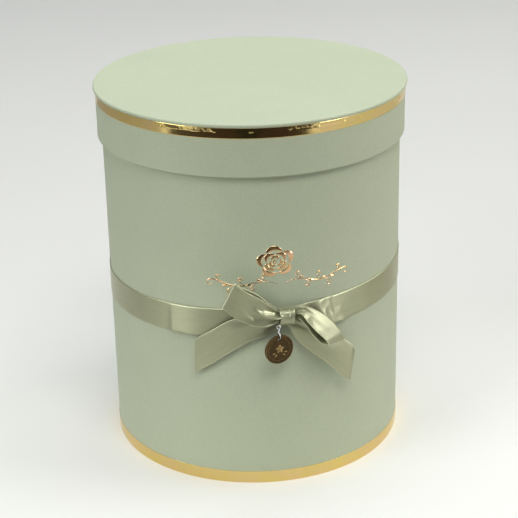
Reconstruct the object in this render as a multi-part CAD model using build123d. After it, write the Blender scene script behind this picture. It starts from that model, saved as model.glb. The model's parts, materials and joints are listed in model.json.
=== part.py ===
from build123d import *
import math
import os

# Round flower box with a lift-off lid. Millimetres, +Z up, origin at the middle of the foot.
# The front is -Y, where the bow is tied.

# The box, outside sizes
body_radius = 100.0
body_height = 249.3

# The lid
lid_skirt_depth = 34.5
lid_overhang = 1.4
lid_edge_rounding = 1.1
lid_clearance = 0.6
lid_seat_gap = 0.2

# Board, paper, foil and glue
tube_wall = 2.0
lid_wall = 1.7
base_board_thickness = 2.0
lid_board_thickness = 1.8
paper = 0.3
foil = 0.12
glue_line = 0.05
trim_gap = 0.1
rim_turn_in = 12.0
skirt_turn_in = 10.0
foot_turn_under = 5.0
top_turn_under = 11.0
base_foil_height = 8.6
lid_foil_depth = 9.4

# Ribbon and bow
ribbon_width = 19.5
ribbon_thickness = 0.35
ribbon_height = 119.5
ribbon_tilt = 2.2
band_thickness = 0.4
knot_width = 9.0
knot_height = 10.6
knot_depth = 9.0
knot_rise = 4.8
knot_stand_off = 0.8
knot_rounding = 2.2
knot_gap = 0.3
loop_fold_depth = 1.3

# Charm and its wire
charm_radius = 9.9
charm_thickness = 1.5
charm_rim_width = 0.8
charm_rim_height = 0.25
charm_hole_radius = 1.0
charm_hole_edge = 1.9
charm_turn = 15.0
wire_radius = 0.35
wire_eye_radius = 1.15
wire_ring_radius = 2.2
wire_shank_radius = 0.65
wire_drop = 6.0
wire_stand_off = 9.3
hang_gap = 0.25

# Radii of the box, from the outside in
wrap_inner = body_radius - paper
tube_outer = wrap_inner - glue_line
tube_inner = tube_outer - tube_wall
liner_outer = tube_inner - glue_line
liner_inner = liner_outer - paper

# Heights of the box
tube_bottom = paper + glue_line
tube_top = body_height - paper - glue_line
base_board_top = tube_bottom + base_board_thickness
liner_bottom = base_board_top + glue_line
turn_in_bottom = body_height - rim_turn_in

# Radii of the lid's skirt, from the inside out
skirt_liner_inner = body_radius + lid_clearance
skirt_liner_outer = skirt_liner_inner + paper
ring_inner = skirt_liner_outer + glue_line
ring_outer = ring_inner + lid_wall
skirt_wrap_inner = ring_outer + glue_line
skirt_outer = skirt_wrap_inner + paper
top_radius = skirt_outer + lid_overhang

# Heights of the lid
top_under = body_height + lid_seat_gap
top_board_bottom = top_under + paper + glue_line
top_board_top = top_board_bottom + lid_board_thickness
total_height = top_board_top + glue_line + paper
skirt_bottom = total_height - lid_skirt_depth
skirt_top = top_under - glue_line
top_cover_inner = top_radius - top_turn_under


def pipe(inner, outer, bottom, top):
    """An upright round wall between two radii."""
    wall = Cylinder(outer, top - bottom) - Cylinder(inner, top - bottom)
    return Pos(0, 0, (bottom + top) / 2) * wall


def disc(radius, bottom, top):
    """A flat round sheet or board."""
    return Pos(0, 0, (bottom + top) / 2) * Cylinder(radius, top - bottom)


def rounded_disc(radius, bottom, top, rounding):
    """A disc whose two rims are rounded."""
    plate = disc(radius, bottom, top)
    return fillet(plate.edges().filter_by(GeomType.CIRCLE), rounding)


# The box


def body_tube():
    return pipe(tube_inner, tube_outer, tube_bottom, tube_top)


def body_wrap():
    """Paper round the tube, over its rim, a little way down inside and under its foot."""
    outside = pipe(wrap_inner, body_radius, 0, body_height)
    over_rim = pipe(liner_inner, body_radius, body_height - paper, body_height)
    turned_in = pipe(liner_inner, liner_outer, turn_in_bottom, body_height)
    turned_under = pipe(body_radius - foot_turn_under, body_radius, 0, paper)
    return outside + over_rim + turned_in + turned_under


def body_liner():
    return pipe(liner_inner, liner_outer, liner_bottom, turn_in_bottom - trim_gap)


def base_board():
    return disc(tube_inner - glue_line, tube_bottom, base_board_top)


def base_cover_outer():
    return disc(body_radius - foot_turn_under - trim_gap, 0, paper)


def base_cover_inner():
    return disc(liner_inner - trim_gap, liner_bottom, liner_bottom + paper)


def base_foil_band():
    start = body_radius + glue_line
    return pipe(start, start + foil, 0, base_foil_height)


# The lid


def lid_ring():
    return pipe(ring_inner, ring_outer, skirt_bottom + paper + glue_line, skirt_top)


def lid_wrap():
    """Paper round the skirt, turned in under its lower edge."""
    outside = pipe(skirt_wrap_inner, skirt_outer, skirt_bottom, skirt_top)
    under = pipe(skirt_liner_inner, skirt_outer, skirt_bottom, skirt_bottom + paper)
    inside = pipe(skirt_liner_inner, skirt_liner_outer, skirt_bottom, skirt_bottom + skirt_turn_in)
    return outside + under + inside


def lid_liner():
    start = skirt_bottom + skirt_turn_in + trim_gap
    return pipe(skirt_liner_inner, skirt_liner_outer, start, skirt_top)


def lid_top_board():
    radius = top_radius - paper - glue_line
    return rounded_disc(radius, top_board_bottom, top_board_top, lid_edge_rounding - paper - glue_line)


def lid_top_cover():
    """Paper over the top board, round its edge and a little way under it."""
    outside = rounded_disc(top_radius, top_under, total_height, lid_edge_rounding)
    room = rounded_disc(top_radius - paper, top_under + paper, total_height - paper, lid_edge_rounding - paper)
    window = disc(top_cover_inner, top_under, top_board_bottom)
    return outside - room - window


def lid_inner_cover():
    return disc(top_cover_inner - trim_gap, top_under, top_under + paper)


def lid_foil_band():
    start = skirt_outer + glue_line
    return pipe(start, start + foil, total_height - lid_foil_depth, skirt_top)


# Ribbon and bow


def wall_point(across, up, out):
    """A point given by its way along the wall from the front, its height above the ribbon's
    middle and its distance from the wall."""
    angle = across / body_radius
    reach = body_radius + out
    return Vector(reach * math.sin(angle), -reach * math.cos(angle), ribbon_height + up)


def ribbon_band():
    """The ribbon round the body, cut from a ring by two planes with the ribbon's tilt."""
    start = body_radius + glue_line
    ring = pipe(start, start + band_thickness, ribbon_height - ribbon_width, ribbon_height + ribbon_width)
    slab = Box(3 * body_radius, 3 * body_radius, ribbon_width)
    return ring & (Pos(0, 0, ribbon_height) * Rot(0, -ribbon_tilt, 0) * slab)


def ribbon_piece(stations):
    """A ribbon through stations along its middle. Each gives a wall point, the way its width
    points (turned from upright, leant from the wall, in degrees) and the share of its width."""
    centres = [wall_point(*station[:3]) for station in stations]
    corners = []
    for i, (across, up, out, turn, lean, spread) in enumerate(stations):
        angle = across / body_radius
        sideways = Vector(math.cos(angle), math.sin(angle), 0)
        outward = Vector(math.sin(angle), -math.cos(angle), 0)
        in_wall = sideways * math.sin(math.radians(turn)) + Vector(0, 0, 1) * math.cos(math.radians(turn))
        width_way = in_wall * math.cos(math.radians(lean)) + outward * math.sin(math.radians(lean))
        along = centres[min(i + 1, len(centres) - 1)] - centres[max(i - 1, 0)]
        half_width = width_way * (ribbon_width * spread / 2)
        half_thick = along.cross(width_way).normalized() * (ribbon_thickness / 2)
        signs = [(-1, -1), (1, -1), (1, 1), (-1, 1)]
        corners.append([centres[i] + half_width * w + half_thick * t for w, t in signs])
    faces = [Face(Wire.make_polygon(corners[0])), Face(Wire.make_polygon(corners[-1]))]
    for near, far in zip(corners, corners[1:]):
        for k in range(4):
            near_edge = Edge.make_line(near[k - 1], near[k])
            far_edge = Edge.make_line(far[k - 1], far[k])
            faces.append(Face.make_surface_from_curves(near_edge, far_edge))
    return Solid(Shell(faces))


def knot_side(way):
    """Where a piece of the bow meets the knot, on its left (-1) or right (+1)."""
    return way * (knot_width / 2 + knot_gap)


def knot_corner(way, angle, gap):
    """How far across and up a point lies that is off the knot's rounded lower corner, on its
    left (-1) or right (+1), at an angle below level."""
    reach = knot_rounding + gap
    across = way * (knot_width / 2 - knot_rounding + reach * math.cos(math.radians(angle)))
    up = knot_rise - knot_height / 2 + knot_rounding - reach * math.sin(math.radians(angle))
    return across, up


def bow_knot():
    block = Box(knot_width, knot_depth, knot_height)
    block = fillet(block.edges().filter_by(Axis.Y), knot_rounding)
    front = block.faces().sort_by(Axis.Y)[0]
    block = fillet(front.edges(), knot_rounding / 2)
    return Pos(*wall_point(0, knot_rise, knot_stand_off + knot_depth / 2)) * block


def bow_tail_left():
    return ribbon_piece(
        [
            (knot_side(-1), 1.5, 3.0, -30, 0, 0.42),
            (-13.5, -0.9, 3.3, -30, 0, 0.75),
            (-27.5, -5.0, 3.3, -31, 0, 0.95),
            (-45.0, -16.5, 3.3, -31, 0, 1.0),
            (-58.0, -26.0, 3.5, 2.5, 0, 1.17),
        ]
    )


def bow_tail_right():
    return ribbon_piece(
        [
            (*knot_corner(1, 50, knot_gap + ribbon_thickness), 4.5, 50, 0, 0.42),
            (11.5, -6.6, 4.8, 50, 0, 0.85),
            (21.8, -16.2, 5.1, 49, 0, 1.0),
            (34.1, -28.5, 7.7, 46, 3, 1.0),
            (42.0, -38.5, 9.5, 8, 4, 1.13),
        ]
    )


def bow_loop_left():
    """Out along the front layer, round the fold and back along the rear layer."""
    half_fold = loop_fold_depth / 2
    return ribbon_piece(
        [
            (knot_side(-1), 6.2, 7.0, -4, 0, 0.32),
            (-12.4, 8.4, 9.5, -3, 0, 0.87),
            (-21.4, 12.4, 10.8, 24, 0, 1.0),
            (-31.5, 21.2, 12.5 + half_fold, 26, 3, 1.0),
            (-34.0, 23.4, 12.5, 26, 3, 1.0),
            (-32.0, 21.7, 12.5 - half_fold, 26, 3, 1.0),
            (-22.0, 15.5, 8.0, 26, 0, 1.0),
            (-12.0, 9.5, 5.4, 6, 0, 0.78),
            (knot_side(-1), 6.2, 4.4, -4, 0, 0.34),
        ]
    )


def bow_loop_right():
    """Up out of the knot, over and down along the top layer, and back along the under layer."""
    half_fold = loop_fold_depth / 2
    return ribbon_piece(
        [
            (knot_side(1) + 0.8, 8.0, 6.0, 20, -30, 0.26),
            (9.2, 8.8, 7.8, 53, -42, 0.36),
            (14.0, 4.9, 10.2, 72, -38, 0.62),
            (20.2, -2.1, 14.2, 90, -34, 0.95),
            (25.3, -10.9, 17.7 + half_fold, 101, -29, 0.98),
            (26.2, -12.9, 17.5, 102, -29, 0.98),
            (25.0, -11.9, 17.4 - half_fold, 101, -29, 0.98),
            (20.0, -5.2, 12.4, 92, -33, 0.95),
            (13.4, 1.4, 8.3, 74, -38, 0.62),
            (8.6, 4.4, 6.0, 56, -40, 0.36),
            (knot_side(1) + 0.8, 4.4, 4.6, 20, -30, 0.24),
        ]
    )


# Charm and its wire


def hanger_pivot():
    """The eye's middle, tucked against the knot's lower left corner."""
    return wall_point(*knot_corner(-1, 37, knot_gap + wire_eye_radius + wire_radius), wire_stand_off)


def ring_centre():
    return hanger_pivot() - Vector(0, 0, wire_drop)


def charm_hanger():
    """An eye at the bow, a twisted shank below it and a ring that goes through the charm."""
    pivot = hanger_pivot()
    eye = Pos(*pivot) * Rot(90, 0, 0) * Torus(wire_eye_radius, wire_radius)
    ring = Pos(*ring_centre()) * Rot(0, 0, charm_turn) * Rot(0, 90, 0) * Torus(wire_ring_radius, wire_radius)
    top = pivot.Z - wire_eye_radius
    bottom = ring_centre().Z + wire_ring_radius
    shank = Pos(pivot.X, pivot.Y, (top + bottom) / 2) * Cylinder(wire_shank_radius, top - bottom + wire_radius)
    return eye + shank + ring


def charm_disc():
    """A round plate with a raised rim, hanging on the ring by its hole."""
    hole_drop = wire_ring_radius + charm_hole_radius - wire_radius - hang_gap
    middle_drop = hole_drop + charm_radius - charm_hole_edge - charm_hole_radius
    plate = Cylinder(charm_radius, charm_thickness)
    plate = fillet(plate.edges().filter_by(GeomType.CIRCLE), charm_rim_height)
    sunk = Cylinder(charm_radius - charm_rim_width, charm_rim_height)
    for side in (-1, 1):
        plate -= Pos(0, 0, side * (charm_thickness - charm_rim_height) / 2) * sunk
    plate -= Pos(0, middle_drop - hole_drop, 0) * Cylinder(charm_hole_radius, charm_thickness)
    hung = Pos(*(ring_centre() - Vector(0, 0, middle_drop)))
    return hung * Rot(0, 0, charm_turn) * Rot(90, 0, 0) * plate


nodes = {
    "body_tube": body_tube,
    "body_wrap": body_wrap,
    "body_liner": body_liner,
    "base_board": base_board,
    "base_cover_outer": base_cover_outer,
    "base_cover_inner": base_cover_inner,
    "base_foil_band": base_foil_band,
    "ribbon_band": ribbon_band,
    "bow_knot": bow_knot,
    "bow_loop_left": bow_loop_left,
    "bow_loop_right": bow_loop_right,
    "bow_tail_left": bow_tail_left,
    "bow_tail_right": bow_tail_right,
    "lid_ring": lid_ring,
    "lid_wrap": lid_wrap,
    "lid_liner": lid_liner,
    "lid_top_board": lid_top_board,
    "lid_top_cover": lid_top_cover,
    "lid_inner_cover": lid_inner_cover,
    "lid_foil_band": lid_foil_band,
    "charm_hanger": charm_hanger,
    "charm_disc": charm_disc,
}

os.makedirs("parts", exist_ok=True)
for name, make in nodes.items():
    export_step(make(), f"parts/{name}.step")
print("hanger pivot", hanger_pivot(), "ring centre", ring_centre(), "height", total_height)
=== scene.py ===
"""Looks of a round, lidded flower box with gold foil rims, a satin bow and a small bronze charm.

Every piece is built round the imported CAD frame: its places come from the frame's nodes, and each piece
rides on one of the frame's bodies. Lengths inside the classes are millimetres; finished meshes are metres.
"""

import json
import logging
import math
from dataclasses import dataclass, field
from enum import Enum
from functools import partial
from typing import Callable, Sequence

import bmesh
import bpy
from mathutils import Matrix, Vector, noise


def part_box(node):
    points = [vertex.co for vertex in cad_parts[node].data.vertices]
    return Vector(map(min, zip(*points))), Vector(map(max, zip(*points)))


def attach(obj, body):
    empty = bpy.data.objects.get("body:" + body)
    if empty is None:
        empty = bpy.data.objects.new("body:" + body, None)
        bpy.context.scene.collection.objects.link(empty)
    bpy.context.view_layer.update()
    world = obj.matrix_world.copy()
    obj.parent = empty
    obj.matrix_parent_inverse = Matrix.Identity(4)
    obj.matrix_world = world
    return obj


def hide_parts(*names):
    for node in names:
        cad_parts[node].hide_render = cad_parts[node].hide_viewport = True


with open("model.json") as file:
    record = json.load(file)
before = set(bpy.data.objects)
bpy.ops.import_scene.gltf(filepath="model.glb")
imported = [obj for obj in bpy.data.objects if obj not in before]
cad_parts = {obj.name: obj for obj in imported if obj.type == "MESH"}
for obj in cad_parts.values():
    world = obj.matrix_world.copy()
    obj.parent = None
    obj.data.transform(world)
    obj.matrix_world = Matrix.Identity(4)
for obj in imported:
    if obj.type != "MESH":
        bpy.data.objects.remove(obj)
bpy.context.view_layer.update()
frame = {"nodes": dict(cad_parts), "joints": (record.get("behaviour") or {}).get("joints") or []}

LOG = logging.getLogger("flower_box")
MM = 0.001
AXIS_Z = Vector((0, 0, 1))
DOUBLINGS = 5  # a turned shape is one sector, doubled this often
CHARM_TURN = math.radians(15.0)  # turn of the charm's face from the front
Colour = tuple[float, float, float]
Section = Sequence[tuple[float, float, float]]  # corners: radius, height and rounding of each, in millimetres
Shape = bmesh.types.BMesh
Socket = bpy.types.NodeSocket


class Body(Enum):
    """The bodies of the frame that a piece can ride on."""

    BOX = "box"
    LID = "lid"
    HANGER = "hanger"
    CHARM = "charm"


class Slot(Enum):
    """The record's material slots."""

    SAGE = "sage_paper"
    LINER = "liner_paper"
    BOARD = "greyboard"
    FOIL = "gold_foil"
    SATIN = "satin_ribbon"
    BRONZE = "antique_bronze"
    WIRE = "silver_wire"


class Held(Enum):
    """How a length of ribbon is held."""

    STRETCHED = "stretched"
    GATHERED = "gathered"
    FOLDED = "folded"
    HUNG = "hung"


# Node graphs and finishes


class Graph:
    """A material's node tree, with short calls for the nodes that the finishes share."""

    def __init__(self, name: str) -> None:
        """Starts a material with one shader and its output.

        Args:
            name: The material's name.
        """
        self.material = bpy.data.materials.new(name)
        self.material.use_nodes = True
        self.tree = self.material.node_tree
        self.tree.nodes.clear()
        self.output = self.tree.nodes.new("ShaderNodeOutputMaterial")
        self.shader = self.add("BsdfPrincipled")
        self.tree.links.new(self.shader.outputs[0], self.output.inputs["Surface"])

    def add(self, kind: str, feeds: dict | None = None, **settings: object) -> bpy.types.Node:
        """Adds a node.

        Args:
            kind: The node's type, without its usual prefix.
            feeds: What goes into its inputs: a socket is linked, anything else is set.
            settings: Its own settings.

        Returns:
            The node.
        """
        node = self.tree.nodes.new("ShaderNode" + kind)
        for key, value in settings.items():
            setattr(node, key, value)
        self.feed(node, feeds or {})
        return node

    def feed(self, node: bpy.types.Node, feeds: dict) -> None:
        """Links or sets a node's inputs.

        Args:
            node: The node.
            feeds: Input name or number to a socket or a value.
        """
        for key, value in feeds.items():
            if isinstance(value, Socket):
                self.tree.links.new(value, node.inputs[key])
            else:
                node.inputs[key].default_value = value

    def place(self, scale: tuple[float, float, float] = (1, 1, 1), source: str = "Object") -> Socket:
        """Coordinates for a pattern.

        Args:
            scale: Stretch of the pattern on each axis.
            source: Object, or UV for a pattern that follows a ribbon.

        Returns:
            The coordinates' socket.
        """
        coordinates = self.add("TexCoord").outputs[source]
        return self.add("Mapping", {"Vector": coordinates, "Scale": scale}).outputs[0]

    def grain(self, where: Socket, scale: float, detail: float = 4, rough: float = 0.5) -> Socket:
        """Soft random variation from 0 to 1.

        Args:
            where: Coordinates.
            scale: Its fineness.
            detail: Octaves.
            rough: Weight of the finer octaves.

        Returns:
            The value's socket.
        """
        feeds = {"Vector": where, "Scale": scale, "Detail": detail, "Roughness": rough}
        return self.add("TexNoise", feeds).outputs[0]

    def span(self, value: Socket, low: float, high: float, to_low: float = 0, to_high: float = 1) -> Socket:
        """Spreads a range of values over another range, smoothly.

        Args:
            value: What is spread.
            low: Start of the range.
            high: End of the range.
            to_low: Result at the start.
            to_high: Result at the end.

        Returns:
            The result's socket.
        """
        feeds = {"Value": value, "From Min": low, "From Max": high, "To Min": to_low, "To Max": to_high}
        return self.add("MapRange", feeds, interpolation_type="SMOOTHSTEP").outputs[0]

    def maths(self, operation: str, first: object, second: object = 0.0) -> Socket:
        """A sum on one or two values.

        Args:
            operation: The node's operation.
            first: The first value or socket.
            second: The second value or socket.

        Returns:
            The result's socket.
        """
        return self.add("Math", {0: first, 1: second}, operation=operation).outputs[0]

    def blend(self, share: object, first: object, second: object, way: str = "MIX") -> Socket:
        """Mixes two colours.

        Args:
            share: The second colour's share.
            first: A colour or socket.
            second: A colour or socket.
            way: The mix's kind.

        Returns:
            The mixed colour's socket.
        """
        first, second = (c if isinstance(c, Socket) else (*c, 1) for c in (first, second))
        feeds = {"Fac": share, "Color1": first, "Color2": second}
        return self.add("MixRGB", feeds, blend_type=way).outputs[0]

    def relief(self, height: Socket, depth: float, below: Socket | None = None) -> Socket:
        """Bump of a given depth.

        Args:
            height: Its height, 0 to 1.
            depth: Depth in metres.
            below: A bump that this one adds to.

        Returns:
            The normal's socket.
        """
        feeds = {"Height": height, "Distance": depth, "Strength": 1.0}
        if below is not None:
            feeds["Normal"] = below
        return self.add("Bump", feeds).outputs[0]

    def shade(self, feeds: dict) -> bpy.types.Material:
        """Feeds the shader and gives the finished material."""
        self.feed(self.shader, feeds)
        return self.material


def tinted(colour: Colour, factor: float) -> Colour:
    """A colour made lighter or darker."""
    return tuple(min(1.0, part * factor) for part in colour)


@dataclass(frozen=True)
class Finish:
    """A finish that names one of the record's slots.

    Attributes:
        name: The material's name.
        slot: The record's slot; not used.
    """

    name: str
    slot: Slot

    def material(self) -> bpy.types.Material:
        """The finish as a material, made once."""
        found = bpy.data.materials.get(self.name)
        return found or self.build(Graph(self.name))

    def build(self, graph: Graph) -> bpy.types.Material:
        """Builds the node tree.

        Args:
            graph: The new material's graph.

        Returns:
            The material.
        """
        raise NotImplementedError(f"{self.name} has no build for {graph.material.name}")


@dataclass(frozen=True)
class Paper(Finish):
    """Matte cover paper with a fine felt grain, faint clouding and rubbed spots.

    Attributes:
        colour: Its middle colour.
        cloud: How far the clouding lightens and darkens it, as a share.
        fibre: How far its fibres do.
        depth: Depth of its grain, in metres.
        rough: Its middle roughness.
    """

    colour: Colour
    cloud: float = 0.012
    fibre: float = 0.05
    depth: float = 0.00005
    rough: float = 0.62

    def build(self, graph: Graph) -> bpy.types.Material:
        """Builds the node tree.

        Args:
            graph: The new material's graph.

        Returns:
            The material.
        """
        here = graph.place()
        clouds = graph.grain(here, 26, 3)
        fibres = graph.grain(here, 1150, 5, 0.62)
        flecks = graph.grain(here, 420, 3, 0.7)
        dark, light = tinted(self.colour, 1 - self.cloud), tinted(self.colour, 1 + self.cloud)
        tone = graph.blend(graph.span(clouds, 0.32, 0.68), dark, light)
        shade = graph.span(fibres, 0.3, 0.7, 1 - self.fibre, 1 + self.fibre)
        grey = graph.add("CombineColor", {0: shade, 1: shade, 2: shade}).outputs[0]
        tone = graph.blend(1.0, tone, grey, "MULTIPLY")
        normal = graph.relief(fibres, self.depth)
        normal = graph.relief(flecks, self.depth * 1.4, normal)
        rough = graph.span(flecks, 0.3, 0.7, self.rough - 0.06, self.rough + 0.08)
        feeds = {"Base Color": tone, "Roughness": rough, "Normal": normal, "Specular IOR Level": 0.32}
        feeds |= {"Sheen Weight": 0.12, "Sheen Roughness": 0.6}
        return graph.shade(feeds)


@dataclass(frozen=True)
class Greyboard(Finish):
    """Raw recycled board: grey-brown pulp with darker and lighter flecks.

    Attributes:
        colour: Its middle colour.
    """

    colour: Colour = (0.30, 0.27, 0.225)

    def build(self, graph: Graph) -> bpy.types.Material:
        """Builds the node tree."""
        here = graph.place((1, 1, 2.2))
        pulp = graph.grain(here, 160, 6, 0.7)
        flecks = graph.add("TexVoronoi", {"Vector": here, "Scale": 700.0}).outputs["Distance"]
        tone = graph.blend(graph.span(pulp, 0.3, 0.7), tinted(self.colour, 0.8), tinted(self.colour, 1.2))
        tone = graph.blend(graph.span(flecks, 0.05, 0.2, 0.35, 0), tone, (0.12, 0.10, 0.08))
        return graph.shade({"Base Color": tone, "Roughness": 0.9, "Normal": graph.relief(pulp, 0.00012)})


@dataclass(frozen=True)
class Foil(Finish):
    """Metallised foil: a warm mirror with ragged fine wrinkles and patches of duller rub.

    Attributes:
        colour: Its colour.
        wrinkle: Depth of its wrinkles, in metres.
        rough: Its middle roughness.
    """

    colour: Colour
    wrinkle: float
    rough: float

    def build(self, graph: Graph) -> bpy.types.Material:
        """Builds the node tree.

        Args:
            graph: The new material's graph.

        Returns:
            The material.
        """
        upright = graph.place((1, 1, 0.3))
        ripple = graph.grain(upright, 400, 4, 0.62)
        scratch = graph.grain(graph.place((1, 1, 1.6)), 1500, 3, 0.6)
        patches = graph.grain(graph.place(), 60, 4, 0.6)
        yellower = tuple(min(1.0, c * f) for c, f in zip(self.colour, (0.98, 1.03, 0.78)))
        tone = graph.blend(graph.span(patches, 0.35, 0.65), self.colour, yellower)
        normal = graph.relief(ripple, self.wrinkle)
        normal = graph.relief(scratch, self.wrinkle * 0.05, normal)
        rough = graph.span(patches, 0.3, 0.7, self.rough * 0.75, self.rough * 1.5)
        return graph.shade({"Base Color": tone, "Metallic": 1.0, "Roughness": rough, "Normal": normal})


@dataclass(frozen=True)
class Satin(Finish):
    """Satin ribbon: glossy floats along its length, a corded selvage and a soft sheen.

    Attributes:
        colour: Its colour.
        width: The ribbon's width, in millimetres.
        lustre: How far it shines in its own colour, 0 to 1.
        pick: Space of the weave's threads, in millimetres.
        cord: Space of the selvage's cords.
    """

    colour: Colour
    width: float = 19.5
    lustre: float = 0.5
    pick: float = 0.42
    cord: float = 0.8

    def build(self, graph: Graph) -> bpy.types.Material:
        """Builds the node tree.

        Args:
            graph: The new material's graph.

        Returns:
            The material.
        """
        split = graph.add("SeparateXYZ", {0: graph.place(source="UV")})
        across, along = split.outputs[0], split.outputs[1]
        turns = self.width * 2 * math.pi
        edge = graph.maths("ABSOLUTE", graph.maths("SUBTRACT", across, 0.5))
        selvage = graph.span(edge, 0.462, 0.478)
        floats = graph.grain(graph.place((self.width * 5.5, self.width * 0.55, 1), "UV"), 1.0, 2, 0.5)
        picks = graph.maths("SINE", graph.maths("MULTIPLY", along, turns / self.pick))
        cords = graph.maths("SINE", graph.maths("MULTIPLY", along, turns / self.cord))
        # Soft streaks along the ribbon: slubs of the yarn, and partly painted sheen that stands in for the
        # satin's shifting highlights.
        slub_and_sheen_streaks = graph.grain(graph.place((9, 1.4, 1), "UV"), 1.0, 3, 0.5)
        weave = graph.maths("MULTIPLY_ADD", picks, 0.12)
        graph.feed(weave.node, {2: floats})
        # Lighter and darker colour along the streaks: slubs and painted sheen.
        dark, light = tinted(self.colour, 0.965), tinted(self.colour, 1.035)
        tone = graph.blend(graph.span(slub_and_sheen_streaks, 0.3, 0.7), dark, light)
        tone = graph.blend(graph.span(floats, 0.25, 0.75, 0.07, 0), tone, (0.10, 0.10, 0.06))
        tone = graph.blend(graph.maths("MULTIPLY", selvage, 0.55), tone, tinted(self.colour, 1.55))
        normal = graph.relief(weave, 0.000007)
        rib = graph.maths("MULTIPLY", selvage, graph.maths("MULTIPLY_ADD", cords, 0.5))
        normal = graph.relief(rib, 0.00006, normal)
        rough = graph.span(floats, 0.2, 0.8, 0.31, 0.37)
        tangent = graph.add("Tangent", direction_type="UV_MAP").outputs[0]
        feeds = {"Base Color": tone, "Roughness": rough, "Normal": normal, "Tangent": tangent}
        feeds |= {"Metallic": self.lustre, "Specular IOR Level": 0.8, "Anisotropic": 0.6}
        feeds |= {"Sheen Weight": 0.2, "Sheen Roughness": 0.35, "Sheen Tint": (0.93, 0.95, 0.80, 1)}
        return graph.shade(feeds)


@dataclass(frozen=True)
class Bronze(Finish):
    """Antiqued bronze: dark in the field, rubbed bright away from the charm's middle.

    Attributes:
        colour: Its unrubbed colour.
        middle: The charm's middle, in metres.
        rub_from: Distance from it at which the rub starts.
        rub_to: Distance at which it is full.
        rubbed: Share of the brightest rub.
    """

    colour: Colour
    middle: tuple[float, float, float] = (0, 0, 0)
    rub_from: float = 0.0089
    rub_to: float = 0.0096
    rubbed: float = 0.55

    def build(self, graph: Graph) -> bpy.types.Material:
        """Builds the node tree.

        Args:
            graph: The new material's graph.

        Returns:
            The material.
        """
        here = graph.place()
        stain = graph.grain(here, 330, 5, 0.6)
        grit = graph.grain(here, 2600, 4, 0.6)
        from_middle = {0: graph.add("TexCoord").outputs["Object"], 1: self.middle}
        away = graph.add("VectorMath", from_middle, operation="DISTANCE").outputs["Value"]
        worn = graph.span(away, self.rub_from, self.rub_to)
        rub = graph.maths("MULTIPLY", worn, graph.span(stain, 0.3, 0.6, 0.6, 1))
        tone = graph.blend(graph.span(stain, 0.3, 0.7), tinted(self.colour, 0.8), tinted(self.colour, 1.15))
        tone = graph.blend(graph.maths("MULTIPLY", rub, self.rubbed), tone, tinted(self.colour, 3.2))
        normal = graph.relief(stain, 0.00003)
        normal = graph.relief(grit, 0.000012, normal)
        rough = graph.span(grit, 0.3, 0.7, 0.38, 0.5)
        return graph.shade({"Base Color": tone, "Metallic": 0.85, "Roughness": rough, "Normal": normal})


@dataclass(frozen=True)
class Wire(Finish):
    """Bright drawn wire with fine draw lines and a little tarnish.

    Attributes:
        colour: Its untarnished colour.
    """

    colour: Colour = (0.62, 0.62, 0.65)

    def build(self, graph: Graph) -> bpy.types.Material:
        """Builds the node tree."""
        here = graph.place()
        tarnish = graph.grain(here, 900, 4, 0.6)
        drawn = graph.grain(graph.place((1, 1, 0.12)), 5200, 2)
        tone = graph.blend(graph.span(tarnish, 0.45, 0.75), self.colour, tinted(self.colour, 0.55))
        rough = graph.span(tarnish, 0.3, 0.7, 0.16, 0.34)
        normal = graph.relief(drawn, 0.00001)
        return graph.shade({"Base Color": tone, "Metallic": 1.0, "Roughness": rough, "Normal": normal})


@dataclass(frozen=True)
class Plain(Finish):
    """A pale studio surface with a trace of unevenness.

    Attributes:
        colour: Its colour.
        rough: Its roughness.
        fade: How far painted shade darkens it from its front, at -Y, to its back, 0 to 1.
        glow: How strongly painted light makes it glow far from the middle, where the lights fall short.
    """

    colour: Colour = (0.8, 0.8, 0.8)
    rough: float = 0.7
    fade: float = 0.0
    glow: float = 0.0

    def build(self, graph: Graph) -> bpy.types.Material:
        """Builds the node tree."""
        cloud = graph.grain(graph.place(), 3, 3)
        tone = graph.blend(graph.span(cloud, 0.3, 0.7), tinted(self.colour, 0.985), self.colour)
        # Painted shade: the surface darkens towards its back, where less light falls.
        if self.fade:
            depth = graph.add("SeparateXYZ", {0: graph.place()}).outputs[1]
            tone = graph.blend(graph.span(depth, -0.25, 0.35, 0, self.fade), tone, (0.0, 0.0, 0.0))
        feeds = {"Base Color": tone, "Roughness": self.rough, "Specular IOR Level": 0.2}
        # Painted light: the surface glows far from the middle, where the lamps fall short.
        if self.glow:
            away = graph.add("VectorMath", {0: graph.place()}, operation="LENGTH").outputs["Value"]
            feeds["Emission Color"] = (0.95, 0.96, 0.94, 1)
            feeds["Emission Strength"] = graph.span(away, 1.2, 4.2, 0, self.glow)
        return graph.shade(feeds)


SAGE_PAPER = Paper("sage cover paper", Slot.SAGE, (0.512, 0.572, 0.420))
LINER_PAPER = Paper("cream liner paper", Slot.LINER, (0.86, 0.84, 0.77), cloud=0.02, fibre=0.03)
RAW_BOARD = Greyboard("raw greyboard", Slot.BOARD)
RIM_FOIL = Foil("gold rim foil", Slot.FOIL, (0.83, 0.625, 0.30), 0.000032, 0.08)
PRINT_FOIL = Foil("rose gold print foil", Slot.FOIL, (0.84, 0.55, 0.36), 0.000002, 0.09)
RIBBON_SATIN = Satin("sage satin", Slot.SATIN, (0.392, 0.408, 0.262))
BRIGHT_WIRE = Wire("bright wire", Slot.WIRE)


# Places and shapes shared by the sub-assemblies


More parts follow.
